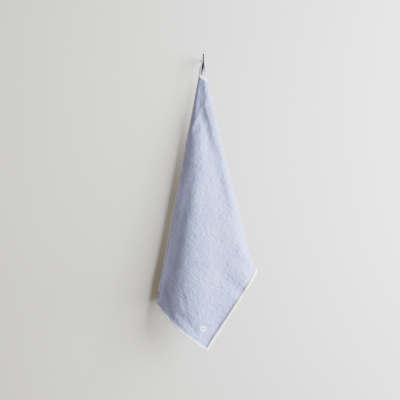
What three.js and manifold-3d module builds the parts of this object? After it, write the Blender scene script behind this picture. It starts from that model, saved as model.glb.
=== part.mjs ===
// A linen tea towel hung by its corner loop on a small iron wall hook.
// Millimetres, +Z up. The front of the towel faces -Y and the wall is the plane y = 0.
// The origin is on the wall, where the axis of the hook's bar meets the hook's flat back.

import * as THREE from 'three';
import { mergeVertices } from 'three/addons/utils/BufferGeometryUtils.js';
import Module from 'manifold-3d';

const wasm = await Module();
wasm.setup();

// Cloth as it was cut, before it was hung by its corner
const CLOTH_WIDTH = 500;
const CLOTH_LENGTH = 700;
const CLOTH_THICKNESS = 1.0;

// Hook: a round bar, square bent, with a ball at its tip, out of a plate that widens downward
const BAR_DIAMETER = 4;
const HOOK_REACH = 56;
const TIP_HEIGHT = 13;
const BEND_RADIUS = 4;
const BALL_DIAMETER = 6;
const PLATE_THICKNESS = 2;
const PLATE_TOP = { up: 1, radius: 3 };
const PLATE_FOOT = { up: -42, radius: 6.5 };

// Hanging loop: a plain woven tape over the bar, its ends sewn to the cloth's upper edge.
// The slack is the room between tape and bar beyond the gap that all pieces keep.
const TAPE_WIDTH = 13;
const TAPE_THICKNESS = 1.0;
const FIT_GAP = 0.3;
const LOOP_SLACK = 0.5;
const LOOP_SETTLE = 0.15;
const LOOP_PLACE = 42;

// Each leg ends above the cloth's upper edge, where the seam is: flat is its place on the cloth.
// Between the seam and the bar it passes two places, measured from the middle of the loop's top.
const SEAM_GAP = 0.7;
const SEAM_LEAD = 7;
const SEAM_PROUD = 0.5;
const LEFT_LEG = {
  flat: 22,
  passes: [{ right: -8.6, forward: 3.4, up: -30 }, { right: -3.4, forward: 0.6, up: -12 }],
};
const RIGHT_LEG = {
  flat: 41,
  passes: [{ right: 2.6, forward: 4.2, up: -30 }, { right: 2.8, forward: 0.6, up: -12 }],
};

// The quarter turn of each leg and the slant of its cut end, as shares of the leg from the seam
const QUARTER_TURN = { from: 0.16, to: 0.8 };
const SLANT_ENDS = 0.5;

// The hung cloth is a cone of folds: every fold runs down from one tip, just above the corner
const TIP_X = -5.2;
const TIP_Y = -LOOP_PLACE;
const TIP_Z = -12.7;
const TIP_TO_CORNER = 42;

// Folds across the cloth, from the long edge to the short edge, as angles about the tip.
// flat: angle on the cloth laid flat. heading: the way the cloth runs there, seen from below
// the tip: 0 is to the right, 90 is toward the front, 180 is to the left.
const FOLDS = [
  { part: 'long edge, behind on the left', flat: 0, heading: 6 },
  { part: 'back layer', flat: 3.4, heading: -9 },
  { part: 'back layer', flat: 6.9, heading: 4 },
  { part: 'inner fold starts', flat: 7.6, heading: 10 },
  { part: 'inner fold ends', flat: 10.2, heading: 176 },
  { part: 'middle layer', flat: 13.0, heading: 184 },
  { part: 'middle layer', flat: 16.0, heading: 176 },
  { part: 'left fold starts', flat: 16.7, heading: 178 },
  { part: 'left fold ends', flat: 18.6, heading: 48 },
  { part: 'front, in shade', flat: 20.6, heading: 59 },
  { part: 'front, in shade', flat: 22.7, heading: 56 },
  { part: 'front, in shade', flat: 24.8, heading: 56 },
  { part: 'front, turning', flat: 26.8, heading: 50 },
  { part: 'front, turning', flat: 28.8, heading: 31 },
  { part: 'front, turning', flat: 30.9, heading: 12 },
  { part: 'front, full face', flat: 33.0, heading: -2 },
  { part: 'front, full face', flat: 35.0, heading: 2 },
  { part: 'front, full face', flat: 37.5, heading: 3 },
  { part: 'front, full face', flat: 40.0, heading: 8 },
  { part: 'front, full face', flat: 43.4, heading: 1 },
  { part: 'right fold starts', flat: 47.3, heading: -61 },
  { part: 'right fold ends', flat: 49.6, heading: -165 },
  { part: 'right layer', flat: 54.5, heading: -172 },
  { part: 'right layer', flat: 58.0, heading: -138 },
  { part: 'right layer', flat: 61.0, heading: -196 },
  { part: 'rear fold starts', flat: 64.4, heading: -178 },
  { part: 'rear fold ends', flat: 66.8, heading: -14 },
  { part: 'rear layer', flat: 70.5, heading: -40 },
  { part: 'rear layer', flat: 74.0, heading: 36 },
  { part: 'rear layer', flat: 78.5, heading: 40 },
  { part: 'rear layer', flat: 81.0, heading: -56 },
  { part: 'far corner, behind on the right', flat: 90.0, heading: -60 },
];

// Where the walk across the folds starts, and its step, in degrees about the tip
const FIRST_ACROSS = -10.6;
const FIRST_FORWARD = -2.43;
const WALK_STEP = 0.02;

// Creases on the cloth laid flat: side is measured from the long edge along the short one,
// down is measured along the long edge. A depth above zero stands out, below zero sinks in.
const CREASES = [
  { side: [82, 84], down: [78, 150], width: 9, depth: 3.2 },
  { side: [112, 186], down: [84, 178], width: 10, depth: -3.4 },
  { side: [196, 300], down: [190, 300], width: 20, depth: -3.0 },
  { side: [404, 486], down: [430, 486], width: 15, depth: -5.5 },
  { side: [436, 492], down: [396, 420], width: 16, depth: 4.5 },
  { side: [372, 428], down: [664, 672], width: 11, depth: -3.6 },
  { side: [462, 490], down: [592, 622], width: 9, depth: -3.2 },
  { side: [300, 420], down: [380, 590], width: 26, depth: 3.0 },
  { side: [170, 250], down: [300, 560], width: 24, depth: -3.2 },
  { side: [60, 200], down: [450, 610], width: 26, depth: 4.0 },
  { side: [300, 330], down: [60, 190], width: 18, depth: 3.0 },
  { side: [400, 440], down: [60, 150], width: 18, depth: -3.4 },
];

// How far the hem right of the low corner has given on the bias, as a share of its distance
const HEM_EASE = [
  { flat: 0, share: 0 },
  { flat: 33.9, share: 0 },
  { flat: 35.2, share: -0.005 },
  { flat: 37.5, share: 0.003 },
  { flat: 41.5, share: 0.010 },
  { flat: 46.5, share: 0.006 },
  { flat: 50.0, share: 0 },
  { flat: 90.0, share: 0 },
];

// Fineness of the solids. Tape stations stand closer together over the bar by the crowding.
const COLUMNS_BEFORE_CORNER = 40;
const COLUMNS_AFTER_CORNER = 46;
const ROWS = 22;
const TAPE_STEPS = 56;
const BAR_CROWDING = 1.7;
const OVER_STEPS = 5;
const BAR_SIDES = 8;
const BAR_STEPS = 28;
const PLATE_SIDES = 12;
const BALL_SIDES = 16;

const LINEN = new THREE.MeshStandardMaterial({ color: 0xcfd6e6, roughness: 0.92, metalness: 0 });
const TAPE = new THREE.MeshStandardMaterial({ color: 0xeceae6, roughness: 0.88, metalness: 0 });
const IRON = new THREE.MeshStandardMaterial({ color: 0x1d1b1a, roughness: 0.55, metalness: 0.85 });

const radians = THREE.MathUtils.degToRad;

// Reads a table by straight lines between its rows
function readTable(rows, key, value, at) {
  const last = rows.length - 1;
  if (at >= rows[last][key]) {
    return rows[last][value];
  }
  let i = 0;
  while (rows[i + 1][key] < at) {
    i += 1;
  }
  const share = (at - rows[i][key]) / (rows[i + 1][key] - rows[i][key]);
  return THREE.MathUtils.lerp(rows[i][value], rows[i + 1][value], share);
}

// Walks across the cloth at unit speed and notes where the folds have taken it
function walkFolds(lastFlat) {
  const walk = [];
  let across = FIRST_ACROSS;
  let forward = FIRST_FORWARD;
  let turned = 0;
  const steps = Math.ceil(lastFlat / WALK_STEP);
  for (let i = 0; i <= steps; i += 1) {
    const flat = i * WALK_STEP;
    const heading = readTable(FOLDS, 'flat', 'heading', flat);
    walk.push({ across, forward, turned });
    const next = readTable(FOLDS, 'flat', 'heading', flat + WALK_STEP);
    const middle = radians((heading + next) / 2);
    across += Math.cos(middle) * WALK_STEP;
    forward += Math.sin(middle) * WALK_STEP;
    turned += Math.abs(next - heading);
  }
  return walk;
}

const SHORT_EDGE_FLAT = THREE.MathUtils.radToDeg(Math.atan2(CLOTH_WIDTH, TIP_TO_CORNER));
const LOW_CORNER_FLAT = THREE.MathUtils.radToDeg(Math.atan2(CLOTH_WIDTH, CLOTH_LENGTH + TIP_TO_CORNER));
const WALK = walkFolds(SHORT_EDGE_FLAT + 1);

function walkAt(flat) {
  const place = THREE.MathUtils.clamp(flat / WALK_STEP, 0, WALK.length - 2);
  const i = Math.floor(place);
  const share = place - i;
  return {
    across: THREE.MathUtils.lerp(WALK[i].across, WALK[i + 1].across, share),
    forward: THREE.MathUtils.lerp(WALK[i].forward, WALK[i + 1].forward, share),
    turned: THREE.MathUtils.lerp(WALK[i].turned, WALK[i + 1].turned, share),
  };
}

// The cloth's cut edges, as distances from the tip
function upperEdge(flat) {
  return TIP_TO_CORNER / Math.cos(radians(flat));
}

function lowerEdge(flat) {
  if (flat <= LOW_CORNER_FLAT) {
    return (CLOTH_LENGTH + TIP_TO_CORNER) / Math.cos(radians(flat));
  }
  return (CLOTH_WIDTH / Math.sin(radians(flat))) * (1 + readTable(HEM_EASE, 'flat', 'share', flat));
}

// A point of the smooth cone, before creases
function conePoint(flat, distance) {
  const { across, forward } = walkAt(flat);
  const tilt = radians(Math.hypot(across, forward));
  const spread = tilt > 0 ? Math.sin(tilt) / tilt : 1;
  return new THREE.Vector3(
    TIP_X + distance * spread * radians(across),
    TIP_Y - distance * spread * radians(forward),
    TIP_Z - distance * Math.cos(tilt),
  );
}

// The cloth's outward side is the one that faces the viewer on the front. The way across is
// measured over two turn steps, in degrees.
const TURN_STEP = 0.04;
function coneNormal(flat, distance) {
  const before = conePoint(Math.max(flat - TURN_STEP, 0), distance);
  const after = conePoint(Math.max(flat - TURN_STEP, 0) + 2 * TURN_STEP, distance);
  const acrossWay = after.sub(before);
  const downWay = conePoint(flat, distance + 1).sub(conePoint(flat, distance));
  return downWay.cross(acrossWay).normalize();
}

// Height of all creases at a place on the flat cloth
function creaseHeight(flat, distance) {
  const side = distance * Math.sin(radians(flat));
  const down = distance * Math.cos(radians(flat)) - TIP_TO_CORNER;
  let height = 0;
  for (const crease of CREASES) {
    const runSide = crease.side[1] - crease.side[0];
    const runDown = crease.down[1] - crease.down[0];
    const length = Math.hypot(runSide, runDown);
    const offSide = side - crease.side[0];
    const offDown = down - crease.down[0];
    const along = (offSide * runSide + offDown * runDown) / length;
    const away = (offSide * runDown - offDown * runSide) / length;
    const past = Math.max(-along, along - length, 0);
    height += crease.depth * Math.exp(-((away / crease.width) ** 2) - (past / (2 * crease.width)) ** 2);
  }
  return height;
}

// A closed solid from a net of mid-surface points, each with its normal. The last column may
// close to one point, as the cloth's far corner does.
function sheetSolid(columns, thickness, closesToPoint) {
  const rows = columns[0].length;
  const positions = [];
  const corner = [];
  columns.forEach((column, c) => {
    const single = closesToPoint && c === columns.length - 1;
    corner.push(column.map((spot, r) => {
      if (single && r > 0) {
        return null;
      }
      const first = positions.length / 3;
      for (const sign of [1, -1]) {
        const point = spot.point.clone().addScaledVector(spot.normal, sign * thickness / 2);
        positions.push(point.x, point.y, point.z);
      }
      return first;
    }));
    if (single) {
      corner[c].fill(corner[c][0]);
    }
  });
  const index = [];
  const addTriangle = (a, b, c) => {
    if (a !== b && b !== c && c !== a) {
      index.push(a, b, c);
    }
  };
  const addQuad = (a, b, c, d) => {
    addTriangle(a, b, c);
    addTriangle(a, c, d);
  };
  for (let c = 0; c < columns.length - 1; c += 1) {
    for (let r = 0; r < rows - 1; r += 1) {
      const a = corner[c][r];
      const b = corner[c][r + 1];
      const d = corner[c + 1][r + 1];
      const e = corner[c + 1][r];
      addQuad(a, b, d, e);
      addQuad(a + 1, e + 1, d + 1, b + 1);
    }
    for (const r of [0, rows - 1]) {
      const a = corner[c][r];
      const b = corner[c + 1][r];
      if (r === 0) {
        addQuad(a, b, b + 1, a + 1);
      } else {
        addQuad(a, a + 1, b + 1, b);
      }
    }
  }
  for (const c of [0, columns.length - 1]) {
    for (let r = 0; r < rows - 1; r += 1) {
      const a = corner[c][r];
      const b = corner[c][r + 1];
      if (a === b) {
        continue;
      }
      if (c === 0) {
        addQuad(a, a + 1, b + 1, b);
      } else {
        addQuad(a, b, b + 1, a + 1);
      }
    }
  }
  const geometry = new THREE.BufferGeometry();
  geometry.setAttribute('position', new THREE.Float32BufferAttribute(positions, 3));
  geometry.setIndex(index);
  geometry.computeVertexNormals();
  return geometry;
}

// Columns stand close together where the cloth turns fast
const TURN_WEIGHT = 1 / 15;
const FLAT_WEIGHT = 1 / 1.5;
function columnPlaces(fromFlat, toFlat, count) {
  const measure = (flat) => walkAt(flat).turned * TURN_WEIGHT + flat * FLAT_WEIGHT;
  const start = measure(fromFlat);
  const end = measure(toFlat);
  const places = [];
  for (let i = 0; i <= count; i += 1) {
    const wanted = THREE.MathUtils.lerp(start, end, i / count);
    let low = fromFlat;
    let high = toFlat;
    while (high - low > WALK_STEP / 4) {
      const middle = (low + high) / 2;
      if (measure(middle) < wanted) {
        low = middle;
      } else {
        high = middle;
      }
    }
    places.push(high);
  }
  places[0] = fromFlat;
  places[count] = toFlat;
  return places;
}

function clothGeometry() {
  const places = columnPlaces(0, LOW_CORNER_FLAT, COLUMNS_BEFORE_CORNER);
  places.push(...columnPlaces(LOW_CORNER_FLAT, SHORT_EDGE_FLAT, COLUMNS_AFTER_CORNER).slice(1));
  const columns = places.map((flat) => {
    const column = [];
    for (let r = 0; r <= ROWS; r += 1) {
      const distance = THREE.MathUtils.lerp(upperEdge(flat), lowerEdge(flat), r / ROWS);
      const normal = coneNormal(flat, distance);
      const point = conePoint(flat, distance).addScaledVector(normal, creaseHeight(flat, distance));
      column.push({ point, normal });
    }
    return column;
  });
  return sheetSolid(columns, CLOTH_THICKNESS, true);
}

// The seam end of a leg: above the cloth's edge and a little proud of its surface
function seamPoint(leg, above) {
  const distance = upperEdge(leg.flat) - above;
  return conePoint(leg.flat, distance).addScaledVector(coneNormal(leg.flat, distance), SEAM_PROUD);
}

// The route of the tape from the left end of the seam, over the bar, to the right end
function tapeRoute() {
  const bendRadius = BAR_DIAMETER / 2 + FIT_GAP + LOOP_SLACK + TAPE_THICKNESS / 2;
  const legPoints = (leg, side) => [
    seamPoint(leg, SEAM_GAP),
    seamPoint(leg, SEAM_LEAD),
    ...leg.passes.map(({ right, forward, up }) => new THREE.Vector3(right, -LOOP_PLACE - forward, up)),
    new THREE.Vector3(side * bendRadius, -LOOP_PLACE, 0),
  ];
  const middle = new THREE.Vector3(0, -LOOP_PLACE, LOOP_SETTLE - LOOP_SLACK);
  const over = [];
  for (let i = 1; i < OVER_STEPS; i += 1) {
    const angle = Math.PI * (1 - i / OVER_STEPS);
    over.push(new THREE.Vector3(Math.cos(angle), 0, Math.sin(angle)).multiplyScalar(bendRadius).add(middle));
  }
  const points = [...legPoints(LEFT_LEG, -1), ...over, ...legPoints(RIGHT_LEG, 1).reverse()];
  return new THREE.CatmullRomCurve3(points, false, 'centripetal');
}

// Cross sections of the tape: its width lies across the front at the seam, and along the bar
// at the top. The slant is how far a place beside the middle line is drawn toward the tip.
function tapeStations() {
  const route = tapeRoute();
  const stations = [];
  for (let i = 0; i <= TAPE_STEPS; i += 1) {
    const fromTop = (2 * i) / TAPE_STEPS - 1;
    const share = 0.5 + 0.5 * Math.sign(fromTop) * Math.abs(fromTop) ** BAR_CROWDING;
    const point = route.getPointAt(share);
    const along = route.getTangentAt(share);
    const leg = share < 0.5 ? LEFT_LEG : RIGHT_LEG;
    const upward = share < 0.5 ? 1 : -1;
    const fromEnd = Math.min(share, 1 - share) * 2;
    const turn = THREE.MathUtils.smoothstep(fromEnd, QUARTER_TURN.from, QUARTER_TURN.to);
    const seamNormal = coneNormal(leg.flat, upperEdge(leg.flat));
    const seamWay = new THREE.Vector3().crossVectors(seamNormal, along).normalize();
    const wide = seamWay.multiplyScalar(upward * (1 - turn)).add(new THREE.Vector3(0, turn, 0));
    wide.addScaledVector(along, -wide.dot(along)).normalize();
    const slant = Math.tan(radians(leg.flat)) * (1 - THREE.MathUtils.smoothstep(fromEnd, 0, SLANT_ENDS));
    stations.push({ point, wide, along, slant: upward * slant });
  }
  return stations;
}

function tapeGeometry() {
  const columns = tapeStations().map(({ point, wide, along, slant }) => {
    const normal = new THREE.Vector3().crossVectors(wide, along).normalize();
    const sideWay = wide.clone().addScaledVector(along, slant);
    return [-0.5, 0, 0.5].map((share) => ({
      point: point.clone().addScaledVector(sideWay, share * TAPE_WIDTH),
      normal,
    }));
  });
  return sheetSolid(columns, TAPE_THICKNESS, false);
}

function toManifold(geometry) {
  const bare = geometry.clone();
  bare.deleteAttribute('normal');
  bare.deleteAttribute('uv');
  const merged = mergeVertices(bare);
  return new wasm.Manifold(new wasm.Mesh({
    numProp: 3,
    vertProperties: new Float32Array(merged.attributes.position.array),
    triVerts: new Uint32Array(merged.index.array),
  }));
}

function toGeometry(solid) {
  const mesh = solid.getMesh();
  const geometry = new THREE.BufferGeometry();
  geometry.setAttribute('position', new THREE.BufferAttribute(new Float32Array(mesh.vertProperties), 3));
  geometry.setIndex(new THREE.BufferAttribute(new Uint32Array(mesh.triVerts), 1));
  geometry.computeVertexNormals();
  return geometry;
}

// The plate's outline: two round ends joined by the straight lines that touch them both
function plateOutline() {
  const apart = PLATE_TOP.up - PLATE_FOOT.up;
  const lean = Math.asin((PLATE_FOOT.radius - PLATE_TOP.radius) / apart);
  const outline = new THREE.Shape();
  outline.absarc(0, PLATE_TOP.up, PLATE_TOP.radius, lean, Math.PI - lean, false);
  outline.absarc(0, PLATE_FOOT.up, PLATE_FOOT.radius, Math.PI - lean, 2 * Math.PI + lean, false);
  outline.closePath();
  return outline;
}

// The hook's plate on the wall, its bar, bent upward at its end, and the ball on its tip
function hookGeometry() {
  const section = new THREE.Shape();
  section.absarc(0, 0, BAR_DIAMETER / 2, 0, 2 * Math.PI, false);
  const route = new THREE.CurvePath();
  const bendStart = new THREE.Vector3(0, -HOOK_REACH + BEND_RADIUS, 0);
  const bendMiddle = new THREE.Vector3(0, -HOOK_REACH, 0);
  const bendEnd = new THREE.Vector3(0, -HOOK_REACH, BEND_RADIUS);
  const ballRadius = BALL_DIAMETER / 2;
  const ballMiddle = new THREE.Vector3(0, -HOOK_REACH, TIP_HEIGHT - ballRadius);
  route.add(new THREE.LineCurve3(new THREE.Vector3(0, -PLATE_THICKNESS / 2, 0), bendStart));
  route.add(new THREE.QuadraticBezierCurve3(bendStart, bendMiddle, bendEnd));
  route.add(new THREE.LineCurve3(bendEnd, ballMiddle));
  const bar = new THREE.ExtrudeGeometry(section, {
    steps: BAR_STEPS,
    curveSegments: BAR_SIDES,
    extrudePath: route,
    bevelEnabled: false,
  });
  const plate = new THREE.ExtrudeGeometry(plateOutline(), {
    depth: PLATE_THICKNESS,
    curveSegments: PLATE_SIDES,
    bevelEnabled: false,
  });
  plate.rotateX(Math.PI / 2);
  const ball = new THREE.SphereGeometry(ballRadius, BALL_SIDES, BALL_SIDES / 2);
  ball.translate(ballMiddle.x, ballMiddle.y, ballMiddle.z);
  return toGeometry(toManifold(bar).add(toManifold(plate)).add(toManifold(ball)));
}

const towel = new THREE.Group();

function addPiece(name, geometry, material) {
  const mesh = new THREE.Mesh(geometry, material);
  mesh.name = name;
  towel.add(mesh);
}

addPiece('towel_cloth', clothGeometry(), LINEN);
addPiece('hanging_loop', tapeGeometry(), TAPE);
addPiece('wall_hook', hookGeometry(), IRON);

export default towel;
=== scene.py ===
# %% [markdown]
# # A linen tea towel on a wall hook
# A tea towel is one rectangle of linen with an overlocked edge and a tape loop at one corner. Hung by that
# loop it falls in a cone of folds: every fold runs down from a tip just above the corner. This lesson
# dresses the plain solids of the part: the cloth with its weave and creases, its stitched edge, the tape,
# the blackened hook and a small stitched flower. Sizes are in metres and follow the part's own.

# %% The frame
import math

import bmesh
import bpy
from mathutils import Matrix, Vector, noise


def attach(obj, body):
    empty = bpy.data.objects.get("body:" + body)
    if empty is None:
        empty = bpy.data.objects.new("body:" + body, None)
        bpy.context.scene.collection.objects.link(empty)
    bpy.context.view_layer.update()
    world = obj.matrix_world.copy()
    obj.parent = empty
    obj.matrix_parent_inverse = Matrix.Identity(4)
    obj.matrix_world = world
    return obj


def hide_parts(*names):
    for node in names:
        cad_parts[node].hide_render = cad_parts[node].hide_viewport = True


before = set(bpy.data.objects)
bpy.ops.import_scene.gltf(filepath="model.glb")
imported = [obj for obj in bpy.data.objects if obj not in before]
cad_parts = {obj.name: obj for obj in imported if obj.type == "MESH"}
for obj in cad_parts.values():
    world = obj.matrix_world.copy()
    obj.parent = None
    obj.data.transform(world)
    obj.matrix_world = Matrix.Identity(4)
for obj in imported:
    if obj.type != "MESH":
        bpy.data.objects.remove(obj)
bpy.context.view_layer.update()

MM = 0.001
print("nodes:", sorted(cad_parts))


# %% [markdown]
# ## Size and hanging
# A tea towel is cut 50 by 70 centimetres. Cloth bends but hardly stretches, so each point is described by its
# place on the flat cloth, side and down from the tape's corner, and the script works out where it hangs.
# All the straight lines of the hung towel meet in one tip, a little above that corner.

# %% Sizes of the cloth
CLOTH_WIDTH = 500 * MM
CLOTH_LENGTH = 700 * MM
LINEN_THICKNESS = 0.5 * MM
TIP = Vector((-5.2 * MM, -42 * MM, -12.7 * MM))
TIP_TO_CORNER = 42 * MM

SHORT_EDGE_FLAT = math.degrees(math.atan2(CLOTH_WIDTH, TIP_TO_CORNER))
LOW_CORNER_FLAT = math.degrees(math.atan2(CLOTH_WIDTH, CLOTH_LENGTH + TIP_TO_CORNER))
print("low corner at", round(LOW_CORNER_FLAT, 2), "degrees, short edge ends at", round(SHORT_EDGE_FLAT, 2))


# %% [markdown]
# ## The folds
# Cloth bends in one direction at a time, so a towel hung from a point keeps straight lines from that point
# to its hem. A cone has just such lines, so the hung shape is settled by one walk across the cloth: at each
# angle on the flat cloth, which way does it head? The table below is that walk, from the long edge to the
# short one. It is the same walk that made the solid, so the fine cloth lies in the solid's own folds. Only on
# the front is it let off by some millimetres, because real cloth turns to the light in a rounder way.

# %% The walk across the cloth
FOLDS = [
    # angle on the flat cloth, heading of the cloth there, both in degrees
    (0.0, 6), (3.4, -9), (6.9, 4),         # back layer, from the long edge
    (7.6, 10), (10.2, 176),                # inner fold
    (13.0, 184), (16.0, 176),              # middle layer
    (16.7, 178), (18.6, 48),               # left fold
    (20.6, 59), (22.7, 56), (24.8, 56),    # front, in shade
    (26.8, 50), (28.8, 31), (30.9, 12),    # front, turning to the light
    (33.0, -2), (35.0, 2), (37.5, 3),      # front, full face
    (40.0, 8), (43.4, 1),
    (47.3, -61), (49.6, -165),             # right fold
    (54.5, -172), (58.0, -138),            # right layer, behind
    (61.0, -196), (64.4, -178),
    (66.8, -14), (70.5, -40),              # rear fold and rear layer
    (74.0, 36), (78.5, 40),
    (81.0, -56), (90.0, -60),              # short edge
]
EXTRA_TURN = [
    # angle on the flat cloth, degrees that the fine cloth's heading differs there
    (0.0, 0), (21.0, 0), (23.5, -3), (26.2, -9), (29.0, -1), (31.0, 3), (38.5, 3), (43.0, 0), (90.0, 0),
]
# the long edge's place as seen from the tip, in degrees to the right and toward the front
FIRST_ACROSS = -10.6
FIRST_FORWARD = -2.43
WALK_STEP = 0.02


def read_table(rows, at):
    """Straight lines between the rows of a table."""
    for (a, low), (b, high) in zip(rows, rows[1:]):
        if at <= b:
            return low + (high - low) * (at - a) / (b - a)
    return rows[-1][1]


def walk_folds(last_flat):
    """Walks across the cloth: places to the right and toward the front, the turn so far, the extra rise."""
    walk = []
    across, forward, turned, raised = FIRST_ACROSS, FIRST_FORWARD, 0.0, 0.0
    for i in range(math.ceil(last_flat / WALK_STEP) + 1):
        heading = read_table(FOLDS, i * WALK_STEP)
        following = read_table(FOLDS, (i + 1) * WALK_STEP)
        walk.append((across, forward, turned, raised))
        middle = math.radians((heading + following) / 2)
        across += math.cos(middle) * WALK_STEP
        forward += math.sin(middle) * WALK_STEP
        turned += abs(following - heading)
        raised += math.radians(read_table(EXTRA_TURN, i * WALK_STEP)) * math.radians(WALK_STEP)
    return walk


WALK = walk_folds(SHORT_EDGE_FLAT + 1)


def walk_at(flat):
    place = min(max(flat / WALK_STEP, 0), len(WALK) - 2)
    i = int(place)
    share = place - i
    return [a + (b - a) * share for a, b in zip(WALK[i], WALK[i + 1])]


print("steps in the walk:", len(WALK))


# %% [markdown]
# ## From the flat cloth to the cone
# A point's angle and distance on the flat cloth now give its place on the cone. Close to the tip the tape
# turns the gathered cloth away from the window: the upper part is turned a little about an upright line,
# and the turn dies out further down. The cone ends where the edges of the flat cloth lie.

# %% A point on the cone
HEM_EASE = [
    # angle on the flat cloth, how far the short side's hem hangs past its straight line, as a share
    (0, 0), (33.9, 0), (35.2, -0.005), (37.5, 0.003), (41.5, 0.010), (46.5, 0.006), (50, 0), (90, 0),
]


def upper_edge(flat):
    return TIP_TO_CORNER / math.cos(math.radians(flat))


def lower_edge(flat):
    if flat <= LOW_CORNER_FLAT:
        return (CLOTH_LENGTH + TIP_TO_CORNER) / math.cos(math.radians(flat))
    return CLOTH_WIDTH / math.sin(math.radians(flat)) * (1 + read_table(HEM_EASE, flat))


def smooth_step(value, low, high):
    t = min(max((value - low) / (high - low), 0), 1)
    return t * t * (3 - 2 * t)


GATHER_TURN = 7
GATHER_FROM = 90 * MM
GATHER_TO = 260 * MM
GATHER_SHIFT = 0.5 * MM


def cone_point(flat, distance):
    """A point on the cone, with the turn of its gathered top."""
    across, forward, _, _ = walk_at(flat)
    tilt = math.radians(math.hypot(across, forward))
    spread = math.sin(tilt) / tilt
    place = distance * Vector((
        spread * math.radians(across),
        -spread * math.radians(forward),
        -math.cos(tilt),
    ))
    gathered = 1 - smooth_step(distance, GATHER_FROM, GATHER_TO)
    place.rotate(Matrix.Rotation(-math.radians(GATHER_TURN) * gathered, 3, "Z"))
    return TIP + place + Vector((GATHER_SHIFT * gathered, 0, 0))


TURN_STEP = 0.04


def cone_normal(flat, distance):
    """The side of the cloth that faces the viewer on the front."""
    first = max(flat - TURN_STEP, 0)
    across_way = cone_point(first + 2 * TURN_STEP, distance) - cone_point(first, distance)
    down_way = cone_point(flat, distance + MM) - cone_point(flat, distance)
    return down_way.cross(across_way).normalized()


LOW_CORNER = cone_point(LOW_CORNER_FLAT, lower_edge(LOW_CORNER_FLAT))
print("the low corner hangs at, in millimetres:", [round(part / MM) for part in LOW_CORNER])


# %% [markdown]
# ## The creases
# Linen keeps the memory of being folded, wrung and gathered. On top of the big folds lie soft troughs and
# ridges, each with its own run on the flat cloth. They could be painted as bump, but a crease that catches
# the window light has real height, so each one moves the cloth along its normal. The slight unevenness of
# washed cloth is added everywhere but at the gathered corner.

# %% Creases, placed on the flat cloth
CREASES = [
    # side and down of both ends, half width and height, in millimetres; below zero sinks in
    # first the main ones, close to the solid's own
    ((82, 78), (84, 150), 9, 3.2),
    ((88, 92), (172, 172), 11, -3.2),
    ((196, 190), (300, 300), 20, -4.2),
    ((424, 490), (505, 500), 13, -6.5),
    ((436, 396), (492, 420), 16, 4.5),
    ((372, 664), (428, 672), 11, -3.6),
    ((462, 592), (490, 622), 9, -3.2),
    ((300, 380), (420, 590), 26, 3.0),
    ((170, 300), (250, 560), 24, -3.2),
    ((60, 450), (200, 610), 26, 4.0),
    ((300, 60), (330, 190), 18, 3.0),
    ((400, 60), (440, 150), 18, -3.4),
    # then finer ones, on the fine cloth alone
    ((41, 6), (100, 83), 8, 1.5),
    ((90, 72), (172, 146), 9, 1.7),
    ((128, 120), (176, 196), 7, -1.6),
    ((236, 232), (318, 300), 9, -1.4),
    ((150, 190), (205, 262), 9, 1.5),
    ((412, 462), (494, 500), 6, -1.8),
    ((455, 440), (497, 462), 7, 1.6),
    ((330, 600), (402, 662), 8, -1.5),
    ((470, 560), (492, 640), 6, -1.4),
    ((250, 640), (330, 690), 9, -1.8),
    ((360, 330), (455, 372), 12, -1.6),
]
CREASE_END = 2


def crease_height(side, down):
    """Each crease is a soft hump along its run, and past both ends it fades over twice its half width."""
    height = 0.0
    for (side_a, down_a), (side_b, down_b), width, depth in CREASES:
        run_side, run_down = side_b - side_a, down_b - down_a
        length = math.hypot(run_side, run_down)
        off_side, off_down = side / MM - side_a, down / MM - down_a
        along = (off_side * run_side + off_down * run_down) / length
        away = (off_side * run_down - off_down * run_side) / length
        past = max(-along, along - length, 0)
        height += depth * MM * math.exp(-((away / width) ** 2) - (past / (CREASE_END * width)) ** 2)
    return height


RIPPLE_HEIGHT = 0.7 * MM
RIPPLE_SIZE = 34 * MM
RIPPLE_FADE = 120 * MM
SMALL_RIPPLE_SHARE = 0.5
SMALL_RIPPLE_SCALE = 2.3
SMALL_RIPPLE_SHIFT = Vector((7, 3, 5))


def ripple(side, down):
    """The slight unevenness of cloth that was washed and not pressed."""
    spot = Vector((side, down, 0)) / RIPPLE_SIZE
    fade = min(1, math.hypot(side, down) / RIPPLE_FADE)
    small = noise.noise(spot * SMALL_RIPPLE_SCALE + SMALL_RIPPLE_SHIFT)
    return RIPPLE_HEIGHT * fade * (noise.noise(spot) + SMALL_RIPPLE_SHARE * small)


print("creases:", len(CREASES))


# %% [markdown]
# ## The hem's curl
# The overlock thread pulls the very edge up a little, so the hem curls toward the viewer and leaves a
# shallow groove inside it. How far it curls changes along the hem, so that is a table as well.

# %% Curl of the hem
LOWER_CURL = [
    # angle on the flat cloth, height of the curled edge in millimetres
    (0, 0.6), (18, 1.2), (22, 2.4), (31, 2.0), (33.4, 3.0), (34.6, 4.4), (40, 5.2), (46, 4.6), (50, 1.6),
    (60, 0.8), (90, 0.6),
]
UPPER_CURL = [(0, 0), (18, 0), (21, 1.3), (44, 1.5), (48, 0), (90, 0)]
CURL_FROM = 3.2 * MM
CURL_TO = 9.5 * MM
UPPER_CURL_TO = 6.5 * MM
GROOVE_PLACE = 5.4 * MM
GROOVE_WIDTH = 1.3 * MM
GROOVE_DEPTH = 0.8 * MM


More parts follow.
